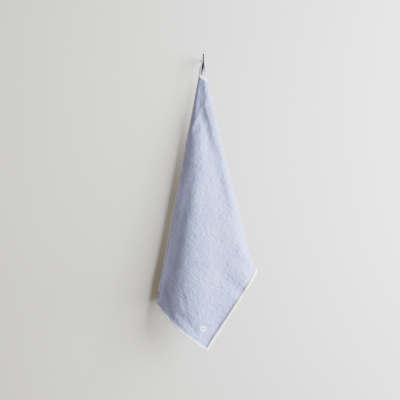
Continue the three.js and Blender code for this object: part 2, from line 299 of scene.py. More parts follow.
def hem_height(flat, distance):
    """Height of the curl, less the groove, by the distance from the nearest edges."""
    angle = math.radians(flat)
    slope = math.sin(angle) if flat > LOW_CORNER_FLAT else math.cos(angle)
    from_lower = (lower_edge(flat) - distance) * slope
    from_upper = (distance - upper_edge(flat)) * math.cos(angle)
    lower = read_table(LOWER_CURL, flat) * (1 - smooth_step(from_lower, CURL_FROM, CURL_TO))
    upper = read_table(UPPER_CURL, flat) * (1 - smooth_step(from_upper, CURL_FROM, UPPER_CURL_TO))
    groove = sum(
        math.exp(-(((away - GROOVE_PLACE) / GROOVE_WIDTH) ** 2)) for away in (from_lower, from_upper)
    )
    return (lower + upper) * MM - groove * GROOVE_DEPTH


print("curl at the low corner, in millimetres:", round(read_table(LOWER_CURL, LOW_CORNER_FLAT), 1))


# %% [markdown]
# ## The whole hung point
# Under the tape the gathered cloth has a shoulder: it drops away on the left and stands out on the right.
# With the creases, the ripple, the curl and the rounder turn of the front that gives one height for every
# point, and the cone's point is moved along its normal by it.

# %% The hung point
SHOULDER = [
    # angle on the flat cloth, height of the gathered cloth under the tape as a share of its distance
    (0, 0), (22, 0), (29, -0.035), (46.5, 0.045), (52, 0), (90, 0),
]
SHOULDER_IN = (48 * MM, 78 * MM)
SHOULDER_OUT = (125 * MM, 280 * MM)


def soft_table(rows, at):
    """Soft steps between the rows of a table."""
    for (a, low), (b, high) in zip(rows, rows[1:]):
        if at <= b:
            return low + (high - low) * smooth_step(at, a, b)
    return rows[-1][1]


def rounding(flat, distance):
    """The front turns to the light in a rounder way than the plain solid does, most of all at the top."""
    gathered = smooth_step(distance, *SHOULDER_IN) * (1 - smooth_step(distance, *SHOULDER_OUT))
    return distance * (walk_at(flat)[3] + gathered * soft_table(SHOULDER, flat))


def hung_point(flat, distance, lift=0.0):
    """A point of the hung cloth, and its normal, with creases, ripples and hem curl."""
    side = distance * math.sin(math.radians(flat))
    down = distance * math.cos(math.radians(flat)) - TIP_TO_CORNER
    normal = cone_normal(flat, distance)
    height = crease_height(side, down) + ripple(side, down) + hem_height(flat, distance)
    height += rounding(flat, distance)
    return cone_point(flat, distance) + normal * (height + lift), normal


REAL_CORNER, _ = hung_point(LOW_CORNER_FLAT, lower_edge(LOW_CORNER_FLAT))
print("the low corner is moved by, in millimetres:", round((REAL_CORNER - LOW_CORNER).length / MM, 1))


# %% [markdown]
# ## The cloth
# A grid is the plainest start for a sheet. Its columns follow the straight lines of the cone, closer
# together where the cloth turns fast, and its rows follow the hem. Each point is then moved to its
# place in the hung cloth, and its UV is its place on the flat cloth, so the weave never stretches.

# %% Cloth helpers
# 15 degrees of turning ask for as many columns as 1.5 degrees of flat cloth
TURN_WEIGHT = 1 / 15
FLAT_WEIGHT = 1 / 1.5


def column_places(from_flat, to_flat, count):
    """Angles of the grid's columns: equal shares of turning and of width."""
    def measure(flat):
        return walk_at(flat)[2] * TURN_WEIGHT + flat * FLAT_WEIGHT

    start, end = measure(from_flat), measure(to_flat)
    places = []
    flat = from_flat
    for i in range(count + 1):
        wanted = start + (end - start) * i / count
        while flat < to_flat and measure(flat) < wanted:
            flat += WALK_STEP / 2
        places.append(min(flat, to_flat))
    return places


def new_object(name, bm, material=None, smooth=True):
    mesh = bpy.data.meshes.new(name)
    bm.to_mesh(mesh)
    bm.free()
    obj = bpy.data.objects.new(name, mesh)
    bpy.context.scene.collection.objects.link(obj)
    if material:
        mesh.materials.append(material)
    for face in mesh.polygons:
        face.use_smooth = smooth
    return obj


def triangles(obj):
    return sum(len(face.vertices) - 2 for face in obj.data.polygons)


print("turning in the whole walk, in degrees:", round(WALK[-1][2]))


# %% [markdown]
# ## The hung sheet
# The edges carry the curl and the groove, so the rows lie close together in a narrow band along both of them
# and further apart between. The sheet is built without thickness, and Solidify gives it both its faces.

# %% The hung sheet
COLUMNS_LEFT = 105
COLUMNS_RIGHT = 125
UPPER_ROWS, MIDDLE_ROWS, HEM_ROWS = 9, 112, 22
ROWS = UPPER_ROWS + MIDDLE_ROWS + HEM_ROWS
UPPER_BAND = 12 * MM
HEM_BAND = 24 * MM
BAND_SHARE = 1 / 4
MERGE_DISTANCE = 0.01 * MM

PLACES = column_places(0, LOW_CORNER_FLAT, COLUMNS_LEFT)
PLACES += column_places(LOW_CORNER_FLAT, SHORT_EDGE_FLAT, COLUMNS_RIGHT)[1:]


def row_distance(row, flat):
    """Rows lie close together in the bands along both edges."""
    top, low = upper_edge(flat), lower_edge(flat)
    upper_band = min(UPPER_BAND, (low - top) * BAND_SHARE)
    hem_band = min(HEM_BAND, (low - top) * BAND_SHARE)
    if row <= UPPER_ROWS:
        return top + upper_band * row / UPPER_ROWS
    if row >= ROWS - HEM_ROWS:
        return low - hem_band * (ROWS - row) / HEM_ROWS
    middle_band = low - top - upper_band - hem_band
    return top + upper_band + middle_band * (row - UPPER_ROWS) / MIDDLE_ROWS


def build_cloth():
    bm = bmesh.new()
    bmesh.ops.create_grid(bm, x_segments=len(PLACES) - 1, y_segments=ROWS, size=1)
    uv = bm.loops.layers.uv.new("flat cloth")
    flat_places = {}
    for vert in bm.verts:
        column = round((vert.co.x + 1) / 2 * (len(PLACES) - 1))
        row = ROWS - round((vert.co.y + 1) / 2 * ROWS)
        flat = PLACES[column]
        distance = row_distance(row, flat)
        vert.co, _ = hung_point(flat, distance)
        side = distance * math.sin(math.radians(flat))
        down = distance * math.cos(math.radians(flat)) - TIP_TO_CORNER
        flat_places[vert.index] = (side, down)
    for face in bm.faces:
        for loop in face.loops:
            loop[uv].uv = flat_places[loop.vert.index]
    bmesh.ops.remove_doubles(bm, verts=bm.verts, dist=MERGE_DISTANCE)
    return new_object("linen_cloth", bm)


cloth = build_cloth()
solid = cloth.modifiers.new("thickness", "SOLIDIFY")
solid.thickness = LINEN_THICKNESS
solid.offset = 0
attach(cloth, "root")
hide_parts("towel_cloth")
print("cloth triangles, one side:", triangles(cloth))


# %% [markdown]
# ## Shader maths as expressions
# A weave is a sum of waves, and waves are easier to read as a formula than as a web of nodes. The class
# below wraps a socket, so that an expression on it adds the Math nodes.

# %% Shader expressions
class Sock:
    """A shader socket that can be added, multiplied and compared."""

    def __init__(self, nodes, socket):
        self.nodes = nodes
        self.socket = socket

    def math(self, operation, *others, clamp=False):
        settings = {"operation": operation, "use_clamp": clamp}
        return self.nodes.node("ShaderNodeMath", settings, [self, *others])

    def __add__(self, other):
        return self.math("ADD", other)

    __radd__ = __add__

    def __sub__(self, other):
        return self.math("SUBTRACT", other)

    def __rsub__(self, other):
        return self.nodes.node("ShaderNodeMath", {"operation": "SUBTRACT"}, [other, self])

    def __mul__(self, other):
        return self.math("MULTIPLY", other)

    __rmul__ = __mul__

    def clamped(self):
        return self.math("ADD", 0.0, clamp=True)

    def sine(self):
        return self.math("SINE")

    def above(self, other):
        return self.math("GREATER_THAN", other)


# %% [markdown]
# Every other node is made by one method: it takes the node's type, its settings and the values or links of
# its sockets. The small methods below it only name the nodes that this lesson uses most.

# %% One material's nodes
class Nodes:
    """One material's node tree, with one method for any node."""

    def __init__(self, name):
        self.material = bpy.data.materials.new(name)
        self.material.use_nodes = True
        self.tree = self.material.node_tree
        self.tree.nodes.clear()

    def node(self, kind, settings=None, values=(), output=0):
        made = self.tree.nodes.new(kind)
        for key, value in (settings or {}).items():
            if key == "stops":
                ramp = made.color_ramp.elements
                for i, (place, colour) in enumerate(value):
                    stop = ramp[i] if i < len(ramp) else ramp.new(place)
                    stop.position = place
                    stop.color = colour
            else:
                setattr(made, key, value)
        pairs = values.items() if isinstance(values, dict) else enumerate(values)
        for key, value in pairs:
            if isinstance(value, Sock):
                self.tree.links.new(value.socket, made.inputs[key])
            else:
                made.inputs[key].default_value = value
        return Sock(self, made.outputs[output]) if made.outputs else None

    def mix_colour(self, factor, first, second):
        # the Mix node has sockets of the same name for each type: 6, 7 and output 2 are those for colours
        return self.node("ShaderNodeMix", {"data_type": "RGBA"}, {0: factor, 6: first, 7: second}, output=2)

    def noise(self, vector, scale, detail=2.0, roughness=0.5):
        values = {"Vector": vector, "Scale": scale, "Detail": detail, "Roughness": roughness}
        return self.node("ShaderNodeTexNoise", {}, values)

    def uv(self, name):
        return self.node("ShaderNodeUVMap", {"uv_map": name})

    def object_place(self):
        return self.node("ShaderNodeTexCoord", {}, output="Object")

    def split(self, vector):
        first = self.node("ShaderNodeSeparateXYZ", {}, [vector])
        return [Sock(self, socket) for socket in first.socket.node.outputs]

    def scaled(self, vector, scale):
        return self.node("ShaderNodeMapping", {}, {"Vector": vector, "Scale": scale})

    def bump(self, height, strength, distance):
        values = {"Height": height, "Strength": strength, "Distance": distance}
        return self.node("ShaderNodeBump", {}, values)

    def finish(self, values):
        shader = self.node("ShaderNodeBsdfPrincipled", {}, values)
        self.node("ShaderNodeOutputMaterial", {}, {"Surface": shader})
        return self.material


# %% [markdown]
# ## Linen
# Plain-woven linen has uneven yarns: a thick place, a slub, runs along one yarn for a few centimetres and
# stops. Hung from its corner the towel shows both yarn systems on the slant. The finish is made of four
# layers: the fine over-and-under weave, slubs as noise drawn out along each yarn way, a slow change of tone
# from washing, and fine crinkles in the bump. Inside the stitches of the top and the right hem a line of
# painted shade darkens the linen, because the groove there is too fine to hold its own shade at this size.

# %% Linen finish
THREAD_PITCH = 0.75 * MM
WARP_SLUB = (190, 11, 1)
WEFT_SLUB = (10, 170, 1)
CRINKLE = (82, 104, 1)
CLOUDS = 14
# how much each layer moves the tone of the colour, and the height of the bump
TONE_OF = {"slub": 1.3, "clouds": 0.4, "weave": 0.05}
HEIGHT_OF = {"slub": 2.8, "crinkle": 12.5, "weave": 0.3}
LINEN_BUMP = 0.8 * MM
EDGING_WIDTH = 3.2 * MM
# the painted line of shade is full over its first third and fades over the rest
SHADE_FROM = 3.8 * MM
SHADE_LINE = 3.0 * MM
SHADE_FULL = 1.5
SHADE_SHARE = 0.9
# painted shade: the dark colour of the line beside the stitches
PAINTED_SHADE_COLOUR = (0.10, 0.11, 0.16, 1)
THREAD_WHITE = (0.95, 0.95, 0.94, 1)
LINEN_COLOUR = (0.296, 0.349, 0.700, 1)
LINEN_PALE = (0.412, 0.468, 0.820, 1)
LINEN_DEEP = (0.210, 0.255, 0.560, 1)


def linen_colour(n, side, down, tone):
    """Linen by its tone, white under the stitches, with a line of painted shade beside them."""
    ramp_stops = [(0.0, LINEN_DEEP), (0.5, LINEN_COLOUR), (1.0, LINEN_PALE)]
    colour = n.node("ShaderNodeValToRGB", {"stops": ramp_stops}, {0: tone})
    inset_side = (side - CLOTH_WIDTH / 2).math("ABSOLUTE") - CLOTH_WIDTH / 2
    inset_down = (down - CLOTH_LENGTH / 2).math("ABSOLUTE") - CLOTH_LENGTH / 2
    covered = inset_side.math("MAXIMUM", inset_down).above(-EDGING_WIDTH)
    colour = n.mix_colour(covered, colour, THREAD_WHITE)
    # painted shade: a dark line just inside the stitches of the top and the right hem
    inside = (down.math("MINIMUM", CLOTH_WIDTH - side) - SHADE_FROM) * (1 / SHADE_LINE)
    painted_shade = inside.above(0) * ((1 - inside) * SHADE_FULL).clamped()
    return n.mix_colour(painted_shade * SHADE_SHARE, colour, PAINTED_SHADE_COLOUR)


def linen_material():
    n = Nodes("washed_linen")
    place = n.uv("flat cloth")
    side, down, _ = n.split(place)
    turns = 2 * math.pi / (2 * THREAD_PITCH)
    weave = (side * turns).sine() * (down * turns).sine()
    warp_slub = n.noise(n.scaled(place, WARP_SLUB), 1, detail=3, roughness=0.65)
    weft_slub = n.noise(n.scaled(place, WEFT_SLUB), 1, detail=3, roughness=0.65)
    clouds = n.noise(place, CLOUDS, detail=4, roughness=0.6)
    crinkle = n.noise(n.scaled(place, CRINKLE), 1, detail=4, roughness=0.6)
    slub = (warp_slub - 0.5) + (weft_slub - 0.5)
    tone = 0.5 + slub * TONE_OF["slub"] + (clouds - 0.5) * TONE_OF["clouds"] + weave * TONE_OF["weave"]
    height = weave * HEIGHT_OF["weave"] + slub * HEIGHT_OF["slub"] + crinkle * HEIGHT_OF["crinkle"]
    return n.finish({
        "Base Color": linen_colour(n, side, down, tone.clamped()),
        "Roughness": 0.9,
        "Specular IOR Level": 0.25,
        "Sheen Weight": 0.35,
        "Sheen Roughness": 0.55,
        "Sheen Tint": (0.93, 0.95, 1.0, 1),
        "Normal": n.bump(height, 0.8, LINEN_BUMP),
    })


cloth.data.materials.append(linen_material())
print("nodes in the linen finish:", len(cloth.data.materials[0].node_tree.nodes))


# %% [markdown]
# ## The overlocked edge
# All four edges are finished by an overlock machine: its thread wraps over the raw edge from front to back,
# stitch beside stitch, and makes the white outline of the towel. One stitch is modelled and stamped along
# the hem, because a thousand equal pieces are best made once.

# %% One stitch
def draw_out(bm, edges, move):
    """Extrudes a ring of edges, moves the new ring and returns it."""
    made = bmesh.ops.extrude_edge_only(bm, edges=edges)["geom"]
    verts = [item for item in made if isinstance(item, bmesh.types.BMVert)]
    bmesh.ops.translate(bm, verts=verts, vec=move)
    return [item for item in made if isinstance(item, bmesh.types.BMEdge)]


def outward_faces(bm):
    bmesh.ops.recalc_face_normals(bm, faces=bm.faces)


THREAD_WIDTH = 2.0 * MM
THREAD_HEIGHT = 0.9 * MM
THREAD_SIDES = 6
STITCH_REACH = EDGING_WIDTH
STITCH_LEAN = 0.9 * MM
WRAP_RADIUS = LINEN_THICKNESS / 2 + THREAD_HEIGHT / 2
WRAP_STEPS = 3


def stitch_mesh():
    """A thread that wraps the edge: x along the hem, y out of the cloth, z off its face."""
    bm = bmesh.new()
    ring = bmesh.ops.create_circle(bm, cap_ends=True, segments=THREAD_SIDES, radius=0.5)["verts"]
    bmesh.ops.scale(bm, verts=ring, vec=(THREAD_WIDTH, THREAD_HEIGHT, 1))
    bmesh.ops.rotate(bm, verts=ring, matrix=Matrix.Rotation(math.pi / 2, 3, "X"))
    bmesh.ops.translate(bm, verts=ring, vec=(-STITCH_LEAN, -STITCH_REACH, WRAP_RADIUS))
    edges = draw_out(bm, list(bm.edges), (STITCH_LEAN, STITCH_REACH, 0))
    spun = bmesh.ops.spin(
        bm, geom=edges, cent=(0, 0, 0), axis=(1, 0, 0), angle=-math.pi, steps=WRAP_STEPS, use_merge=False,
    )["geom_last"]
    edges = [item for item in spun if isinstance(item, bmesh.types.BMEdge)]
    last = draw_out(bm, edges, (STITCH_LEAN, -STITCH_REACH, 0))
    bmesh.ops.holes_fill(bm, edges=last)
    outward_faces(bm)
    mesh = bpy.data.meshes.new("one_stitch")
    bm.to_mesh(mesh)
    bm.free()
    return mesh


ONE_STITCH = stitch_mesh()
print("faces of one stitch:", len(ONE_STITCH.polygons))


# %% [markdown]
# A stitch is stamped where the hem hangs. Its frame has one axis along the hem and one off the cloth's face;
# both are measured on the hung cloth itself, so every stitch follows the curl.

# %% A frame on the cloth
FRAME_STEP = 0.4 * MM


def stamp(bm, mesh, place):
    """Adds one copy of the mesh, moved by the matrix."""
    first = len(bm.verts)
    bm.from_mesh(mesh)
    bm.verts.ensure_lookup_table()
    bmesh.ops.transform(bm, matrix=place, verts=bm.verts[first:])


def flat_to_cone(side, down):
    flat = math.degrees(math.atan2(side, down + TIP_TO_CORNER))
    return flat, math.hypot(side, down + TIP_TO_CORNER)


def on_cloth(side, down, way, lift=0.0):
    """A frame on the hung cloth: x along the given way on the flat cloth, z off its face."""
    here, normal = hung_point(*flat_to_cone(side, down), lift)
    ahead_side, ahead_down = side + way[0] * FRAME_STEP, down + way[1] * FRAME_STEP
    ahead, _ = hung_point(*flat_to_cone(ahead_side, ahead_down), lift)
    x_axis = (ahead - here).normalized()
    y_axis = normal.cross(x_axis).normalized()
    z_axis = x_axis.cross(y_axis)
    return Matrix((
        (x_axis.x, y_axis.x, z_axis.x, here.x),
        (x_axis.y, y_axis.y, z_axis.y, here.y),
        (x_axis.z, y_axis.z, z_axis.z, here.z),
        (0, 0, 0, 1),
    ))


print("the low corner's frame:", on_cloth(CLOTH_WIDTH, CLOTH_LENGTH, (0, 1)).translation)


# %% [markdown]
# The machine goes round all four sides, so the stitches stand in four rows, each with a whole number of
# them. The thread is white cotton: nearly even in colour, with a little fuzz.

# %% Stitches all round
STITCH_PITCH = 2.2 * MM
HEMS = [
    # start on the flat cloth, way along the hem, length
    ((0, 0), (0, 1), CLOTH_LENGTH),
    ((0, CLOTH_LENGTH), (1, 0), CLOTH_WIDTH),
    ((CLOTH_WIDTH, CLOTH_LENGTH), (0, -1), CLOTH_LENGTH),
    ((CLOTH_WIDTH, 0), (-1, 0), CLOTH_WIDTH),
]


def build_edging():
    bm = bmesh.new()
    for (side, down), (way_side, way_down), length in HEMS:
        count = round(length / STITCH_PITCH)
        for i in range(count):
            gone = (i + 0.5) * length / count
            spot = (side + way_side * gone, down + way_down * gone)
            stamp(bm, ONE_STITCH, on_cloth(*spot, (way_side, way_down)))
    return new_object("overlocked_edge", bm)


THREAD_DEEP = (0.8835, 0.8835, 0.8742, 1)
THREAD_FUZZ = 900
THREAD_CLOUDS = 40
THREAD_BUMP = 0.3 * MM


def thread_material():
    n = Nodes("white_thread")
    place = n.object_place()
    fuzz = n.noise(place, THREAD_FUZZ)
    clouds = n.noise(place, THREAD_CLOUDS)
    return n.finish({
        "Base Color": n.mix_colour((fuzz * 0.5 + clouds * 0.5).clamped(), THREAD_DEEP, THREAD_WHITE),
        "Roughness": 0.75,
        "Sheen Weight": 0.2,
        "Normal": n.bump(fuzz, 0.3, THREAD_BUMP),
    })


edging = build_edging()
bpy.data.meshes.remove(ONE_STITCH)
THREAD = thread_material()
edging.data.materials.append(THREAD)
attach(edging, "root")
print("stitch triangles:", triangles(edging))


# %% [markdown]
# ## The hanging loop
# A narrow cotton tape goes over the bar of the hook and both its ends are caught in the seam at the
# corner. On the bar its width lies along the bar, at the seam it lies on the cloth, so each leg makes a
# quarter turn. The route is a smooth curve through named points and the strip is a grid bent along it.

# %% Route of the tape
TAPE_WIDTH = 13 * MM
TAPE_THICKNESS = 0.7 * MM
LOOP_PLACE = 42 * MM
BEND_RADIUS = 3.3 * MM
SEAM_LEAD = 7 * MM
SEAM_PROUD = 0.3 * MM
SEAM_TUCK = 0.6 * MM
LEFT_END = 21
RIGHT_END = 42
BEND_POINTS = 7
BEND_DROP = 0.35 * MM
# points that each leg passes on its way, from the seam up and from the bar down, in millimetres
LEFT_PASSES = [(-9.4, -45.4, -30), (-3.7, -42.6, -12)]
RIGHT_PASSES = [(3.1, -42.6, -12), (3.9, -46.2, -30)]


def tape_end(flat, above):
    distance = upper_edge(flat) - above
    return cone_point(flat, distance) + cone_normal(flat, distance) * SEAM_PROUD


def mm(x, y, z):
    return Vector((x, y, z)) * MM


def tape_route():
    over = []
    for i in range(BEND_POINTS):
        angle = math.pi * (1 - i / (BEND_POINTS - 1))
        up = math.sin(angle) * BEND_RADIUS - BEND_DROP
        over.append(Vector((math.cos(angle) * BEND_RADIUS, -LOOP_PLACE, up)))
    left = [tape_end(LEFT_END, SEAM_TUCK), tape_end(LEFT_END, SEAM_LEAD)]
    left += [mm(*place) for place in LEFT_PASSES]
    right = [mm(*place) for place in RIGHT_PASSES]
    right += [tape_end(RIGHT_END, SEAM_LEAD), tape_end(RIGHT_END, SEAM_TUCK)]
    return left + over + right


print("points on the route of the tape:", len(tape_route()))


# %% [markdown]
# The tape must run smoothly through its points and its ribs must not stretch. A curve is laid through the
# points first, in short steps, and then even steps are measured off along it.

# %% A smooth route in even steps
CURVE_STEPS = 40


def smooth_route(points, count):
    """Even steps along a smooth curve through the points, and its length."""
    knots = [0.0]
    for a, b in zip(points, points[1:]):
        knots.append(knots[-1] + (b - a).length ** 0.5)

    def slope(i):
        low, high = max(i - 1, 0), min(i + 1, len(points) - 1)
        return (points[high] - points[low]) / (knots[high] - knots[low])

    fine = []
    for i in range(len(points) - 1):
        width = knots[i + 1] - knots[i]
        start, end = slope(i) * width / 3, slope(i + 1) * width / 3
        curve = [points[i], points[i] + start, points[i + 1] - end, points[i + 1]]
        for k in range(CURVE_STEPS):
            t = k / CURVE_STEPS
            fine.append(
                curve[0] * (1 - t) ** 3 + curve[1] * 3 * t * (1 - t) ** 2
                + curve[2] * 3 * t * t * (1 - t) + curve[3] * t ** 3
            )
    fine.append(points[-1])
    lengths = [0.0]
    for a, b in zip(fine, fine[1:]):
        lengths.append(lengths[-1] + (b - a).length)
    even = []
    k = 0
    for i in range(count + 1):
        wanted = lengths[-1] * i / count
        while k < len(fine) - 2 and lengths[k + 1] < wanted:
            k += 1
        share = (wanted - lengths[k]) / (lengths[k + 1] - lengths[k])
        even.append(fine[k].lerp(fine[k + 1], min(share, 1)))
    return even, lengths[-1]


TAPE_PARTS = 120
ROUTE, TAPE_LENGTH = smooth_route(tape_route(), TAPE_PARTS)
print("tape length in millimetres:", round(TAPE_LENGTH / MM))


# %% [markdown]
# The strip is a grid: along the route, and across the tape's width. Between seam and bar its width turns
# from the cloth's face to the bar's direction, and both ends are cut on the slant, along the seam.

# %% The bent tape
TAPE_COLUMNS = 6
# shares of each leg, from the seam, between which the tape turns, and over which its slant end fades
TURN_FROM, TURN_TO = 0.16, 0.8
SLANT_TO = 0.5


def build_tape():
    bm = bmesh.new()
    bmesh.ops.create_grid(bm, x_segments=TAPE_PARTS, y_segments=TAPE_COLUMNS, size=1)
    uv = bm.loops.layers.uv.new("along tape")
    flat_places = {}
    for vert in bm.verts:
        i = round((vert.co.x + 1) / 2 * TAPE_PARTS)
        across = vert.co.y / 2 * TAPE_WIDTH
        along = (ROUTE[min(i + 1, TAPE_PARTS)] - ROUTE[max(i - 1, 0)]).normalized()
        share = i / TAPE_PARTS
        first_half = share < 0.5
        flat = LEFT_END if first_half else RIGHT_END
        up_leg = min(share, 1 - share) * 2
        turn = smooth_step(up_leg, TURN_FROM, TURN_TO)
        sign = 1 if first_half else -1
        seam_way = cone_normal(flat, upper_edge(flat)).cross(along).normalized() * sign
        wide = seam_way * (1 - turn) + Vector((0, 1, 0)) * turn
        wide = (wide - along * wide.dot(along)).normalized()
        slant = math.tan(math.radians(flat)) * (1 - smooth_step(up_leg, 0, SLANT_TO)) * sign
        flat_places[vert.index] = (share * TAPE_LENGTH, across)
        vert.co = ROUTE[i] + (wide + along * slant) * across
    for face in bm.faces:
        for loop in face.loops:
            loop[uv].uv = flat_places[loop.vert.index]
    return new_object("cotton_tape", bm)


tape = build_tape()
tape_solid = tape.modifiers.new("thickness", "SOLIDIFY")
tape_solid.thickness = TAPE_THICKNESS
tape_solid.offset = 0
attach(tape, "root")
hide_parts("hanging_loop")
print("tape triangles, one side:", triangles(tape))


# %% [markdown]
# ## Cotton tape
# Such tape is woven in a herringbone: ribs run to the middle on the slant and meet there. Mirroring the place
# across the tape, by taking its absolute value, gives both halves with one wave.

# %% Tape finish
RIB_PITCH = 1.3 * MM
YARN_PITCH = 0.7 * MM
TAPE_FUZZ = 500
TAPE_BUMP = 0.4 * MM
TAPE_DEEP = (0.50, 0.54, 0.64, 1)
TAPE_PALE = (0.66, 0.70, 0.80, 1)


def tape_material():
    n = Nodes("cotton_tape")
    along, across, _ = n.split(n.uv("along tape"))
    rib = ((along + across.math("ABSOLUTE")) * (2 * math.pi / RIB_PITCH)).sine()
    yarn = (across * (2 * math.pi / YARN_PITCH)).sine()
    fuzz = n.noise(n.object_place(), TAPE_FUZZ)
    tone = (0.5 + rib * 0.2 + (fuzz - 0.5) * 0.6).clamped()
    return n.finish({
        "Base Color": n.mix_colour(tone, TAPE_DEEP, TAPE_PALE),
        "Roughness": 0.85,
        "Sheen Weight": 0.2,
        "Normal": n.bump(rib * 0.5 + yarn * 0.2, 0.5, TAPE_BUMP),
    })


tape.data.materials.append(tape_material())
print("nodes in the tape finish:", len(tape.data.materials[0].node_tree.nodes))


# %% [markdown]
# ## The hook's plate
# The hook is blackened iron: a narrow plate on the wall that widens downward, and a round bar that comes
# out of it, bends up and ends in a ball. Through the open loop only the dark plate can be seen. The plate's
# outline is the hull of two circles; it is drawn out to its thickness and its front edge is rounded.

# %% The plate
PLATE_THICKNESS = 2 * MM
PLATE_TOP = (1 * MM, 3 * MM)
PLATE_FOOT = (-42 * MM, 6.5 * MM)
PLATE_SIDES = 48
FORGED_EDGE = 0.6 * MM
FORGED_STEPS = 3
ALMOST_FLAT = 0.01


def build_plate():
    bm = bmesh.new()
    for up, radius in (PLATE_TOP, PLATE_FOOT):
        ring = bmesh.ops.create_circle(bm, segments=PLATE_SIDES, radius=radius)["verts"]
        bmesh.ops.rotate(bm, verts=ring, matrix=Matrix.Rotation(math.pi / 2, 3, "X"))
        bmesh.ops.translate(bm, verts=ring, vec=(0, 0, up))
    spare = bmesh.ops.convex_hull(bm, input=bm.verts)["geom_interior"]
    bmesh.ops.delete(bm, geom=[v for v in spare if isinstance(v, bmesh.types.BMVert)], context="VERTS")
    bmesh.ops.dissolve_limit(bm, angle_limit=ALMOST_FLAT, verts=bm.verts, edges=bm.edges)
    # the plate is drawn out from one face of the flat hull
    front = list(bm.faces)[:1]
    bmesh.ops.delete(bm, geom=list(bm.faces)[1:], context="FACES_ONLY")
    grown = bmesh.ops.extrude_face_region(bm, geom=front)["geom"]
    verts = [item for item in grown if isinstance(item, bmesh.types.BMVert)]
    bmesh.ops.translate(bm, verts=verts, vec=(0, -PLATE_THICKNESS, 0))
    rim = [edge for edge in bm.edges if all(v.co.y < -PLATE_THICKNESS / 2 for v in edge.verts)]
    bmesh.ops.bevel(
        bm, geom=rim, offset=FORGED_EDGE, segments=FORGED_STEPS, profile=0.5, affect="EDGES", material=-1,
    )
    outward_faces(bm)
    return new_object("iron_plate", bm)


# %% [markdown]
# ## The hook's bar
# A smith draws the bar out, bends it up over an edge and leaves a ball at its end. In the same way one ring
# of edges is drawn out from inside the plate, spun through a quarter turn and drawn out again.

# %% The bar and its ball
BAR_RADIUS = 2.3 * MM
BAR_SIDES = 24
HOOK_REACH = 56 * MM
HOOK_BEND = 4 * MM
BEND_STEPS = 10
TIP_HEIGHT = 13 * MM
BALL_RADIUS = 3 * MM
BALL_RINGS = 16


def build_bar():
    bm = bmesh.new()
    ring = bmesh.ops.create_circle(bm, segments=BAR_SIDES, radius=BAR_RADIUS, cap_ends=True)["verts"]
    bmesh.ops.rotate(bm, verts=ring, matrix=Matrix.Rotation(math.pi / 2, 3, "X"))
    bmesh.ops.translate(bm, verts=ring, vec=(0, -PLATE_THICKNESS / 2, 0))
    edges = draw_out(bm, list(bm.edges), (0, -HOOK_REACH + HOOK_BEND + PLATE_THICKNESS / 2, 0))
    centre = (0, -HOOK_REACH + HOOK_BEND, HOOK_BEND)
    spun = bmesh.ops.spin(bm, geom=edges, cent=centre, axis=(1, 0, 0), angle=-math.pi / 2, steps=BEND_STEPS)
    edges = [item for item in spun["geom_last"] if isinstance(item, bmesh.types.BMEdge)]
    edges = draw_out(bm, edges, (0, 0, TIP_HEIGHT - BALL_RADIUS - HOOK_BEND))
    bmesh.ops.holes_fill(bm, edges=edges)
    outward_faces(bm)
    ball = bmesh.ops.create_uvsphere(bm, u_segments=BAR_SIDES, v_segments=BALL_RINGS, radius=BALL_RADIUS)
    bmesh.ops.translate(bm, verts=ball["verts"], vec=(0, -HOOK_REACH, TIP_HEIGHT - BALL_RADIUS))
    return new_object("iron_bar", bm)


hook_bar = build_bar()
hook_plate = build_plate()
print("hook triangles:", triangles(hook_bar) + triangles(hook_plate))


# %% [markdown]
# ## Blackened iron
# Iron blackened in the fire is nearly black, with a thin uneven scale that the hands rub smoother in places.
# One fine noise moves the colour and the bump a little, and a slower one the roughness.

# %% Iron finish
IRON_BLACK = (0.0015, 0.0015, 0.002, 1)
IRON_PALE = (0.006, 0.0055, 0.005, 1)
IRON_SCALE = 260
IRON_RUB = 60
IRON_BUMP = 0.3 * MM


def iron_material():
    n = Nodes("blackened_iron")
    place = n.object_place()
    scale = n.noise(place, IRON_SCALE, detail=4, roughness=0.6)
    rub = n.noise(place, IRON_RUB)
    return n.finish({
        "Base Color": n.mix_colour(scale, IRON_BLACK, IRON_PALE),
        "Specular IOR Level": 0.2,
        "Roughness": (0.5 + rub * 0.25).clamped(),
        "Normal": n.bump(scale, 0.35, IRON_BUMP),
    })


IRON = iron_material()
for piece in (hook_bar, hook_plate):
    piece.data.materials.append(IRON)
    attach(piece, "root")
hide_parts("wall_hook")
print("pieces of iron:", [piece.name for piece in (hook_bar, hook_plate)])


# %% [markdown]
# ## Hand stitching
# Close to the lowest corner sits a small white flower, laid in satin stitches: each petal is a fan of
# threads. Every thread is one stretched ball, stamped on the hung cloth, which is quicker than a bent tube
# and looks the same at this size.

# %% A stitched flower
FLOWER_AT = (456 * MM, 654 * MM)
PETALS = 6
THREADS_IN_PETAL = 3
PETAL_FROM = 3.0 * MM
PETAL_TO = 11.5 * MM
PETAL_ROUNDING = 1.5 * MM
PETAL_LEAN = 0.24
SATIN_WIDTH = 1.4 * MM
SATIN_HEIGHT = 0.5 * MM
SATIN_SIDES, SATIN_RINGS = 8, 6


def satin_mesh(length):
    bm = bmesh.new()
    bmesh.ops.create_uvsphere(bm, u_segments=SATIN_SIDES, v_segments=SATIN_RINGS, radius=0.5)
    bmesh.ops.scale(bm, verts=bm.verts, vec=(length, SATIN_WIDTH, SATIN_HEIGHT))
    mesh = bpy.data.meshes.new("satin_stitch")
    bm.to_mesh(mesh)
    bm.free()
    return mesh


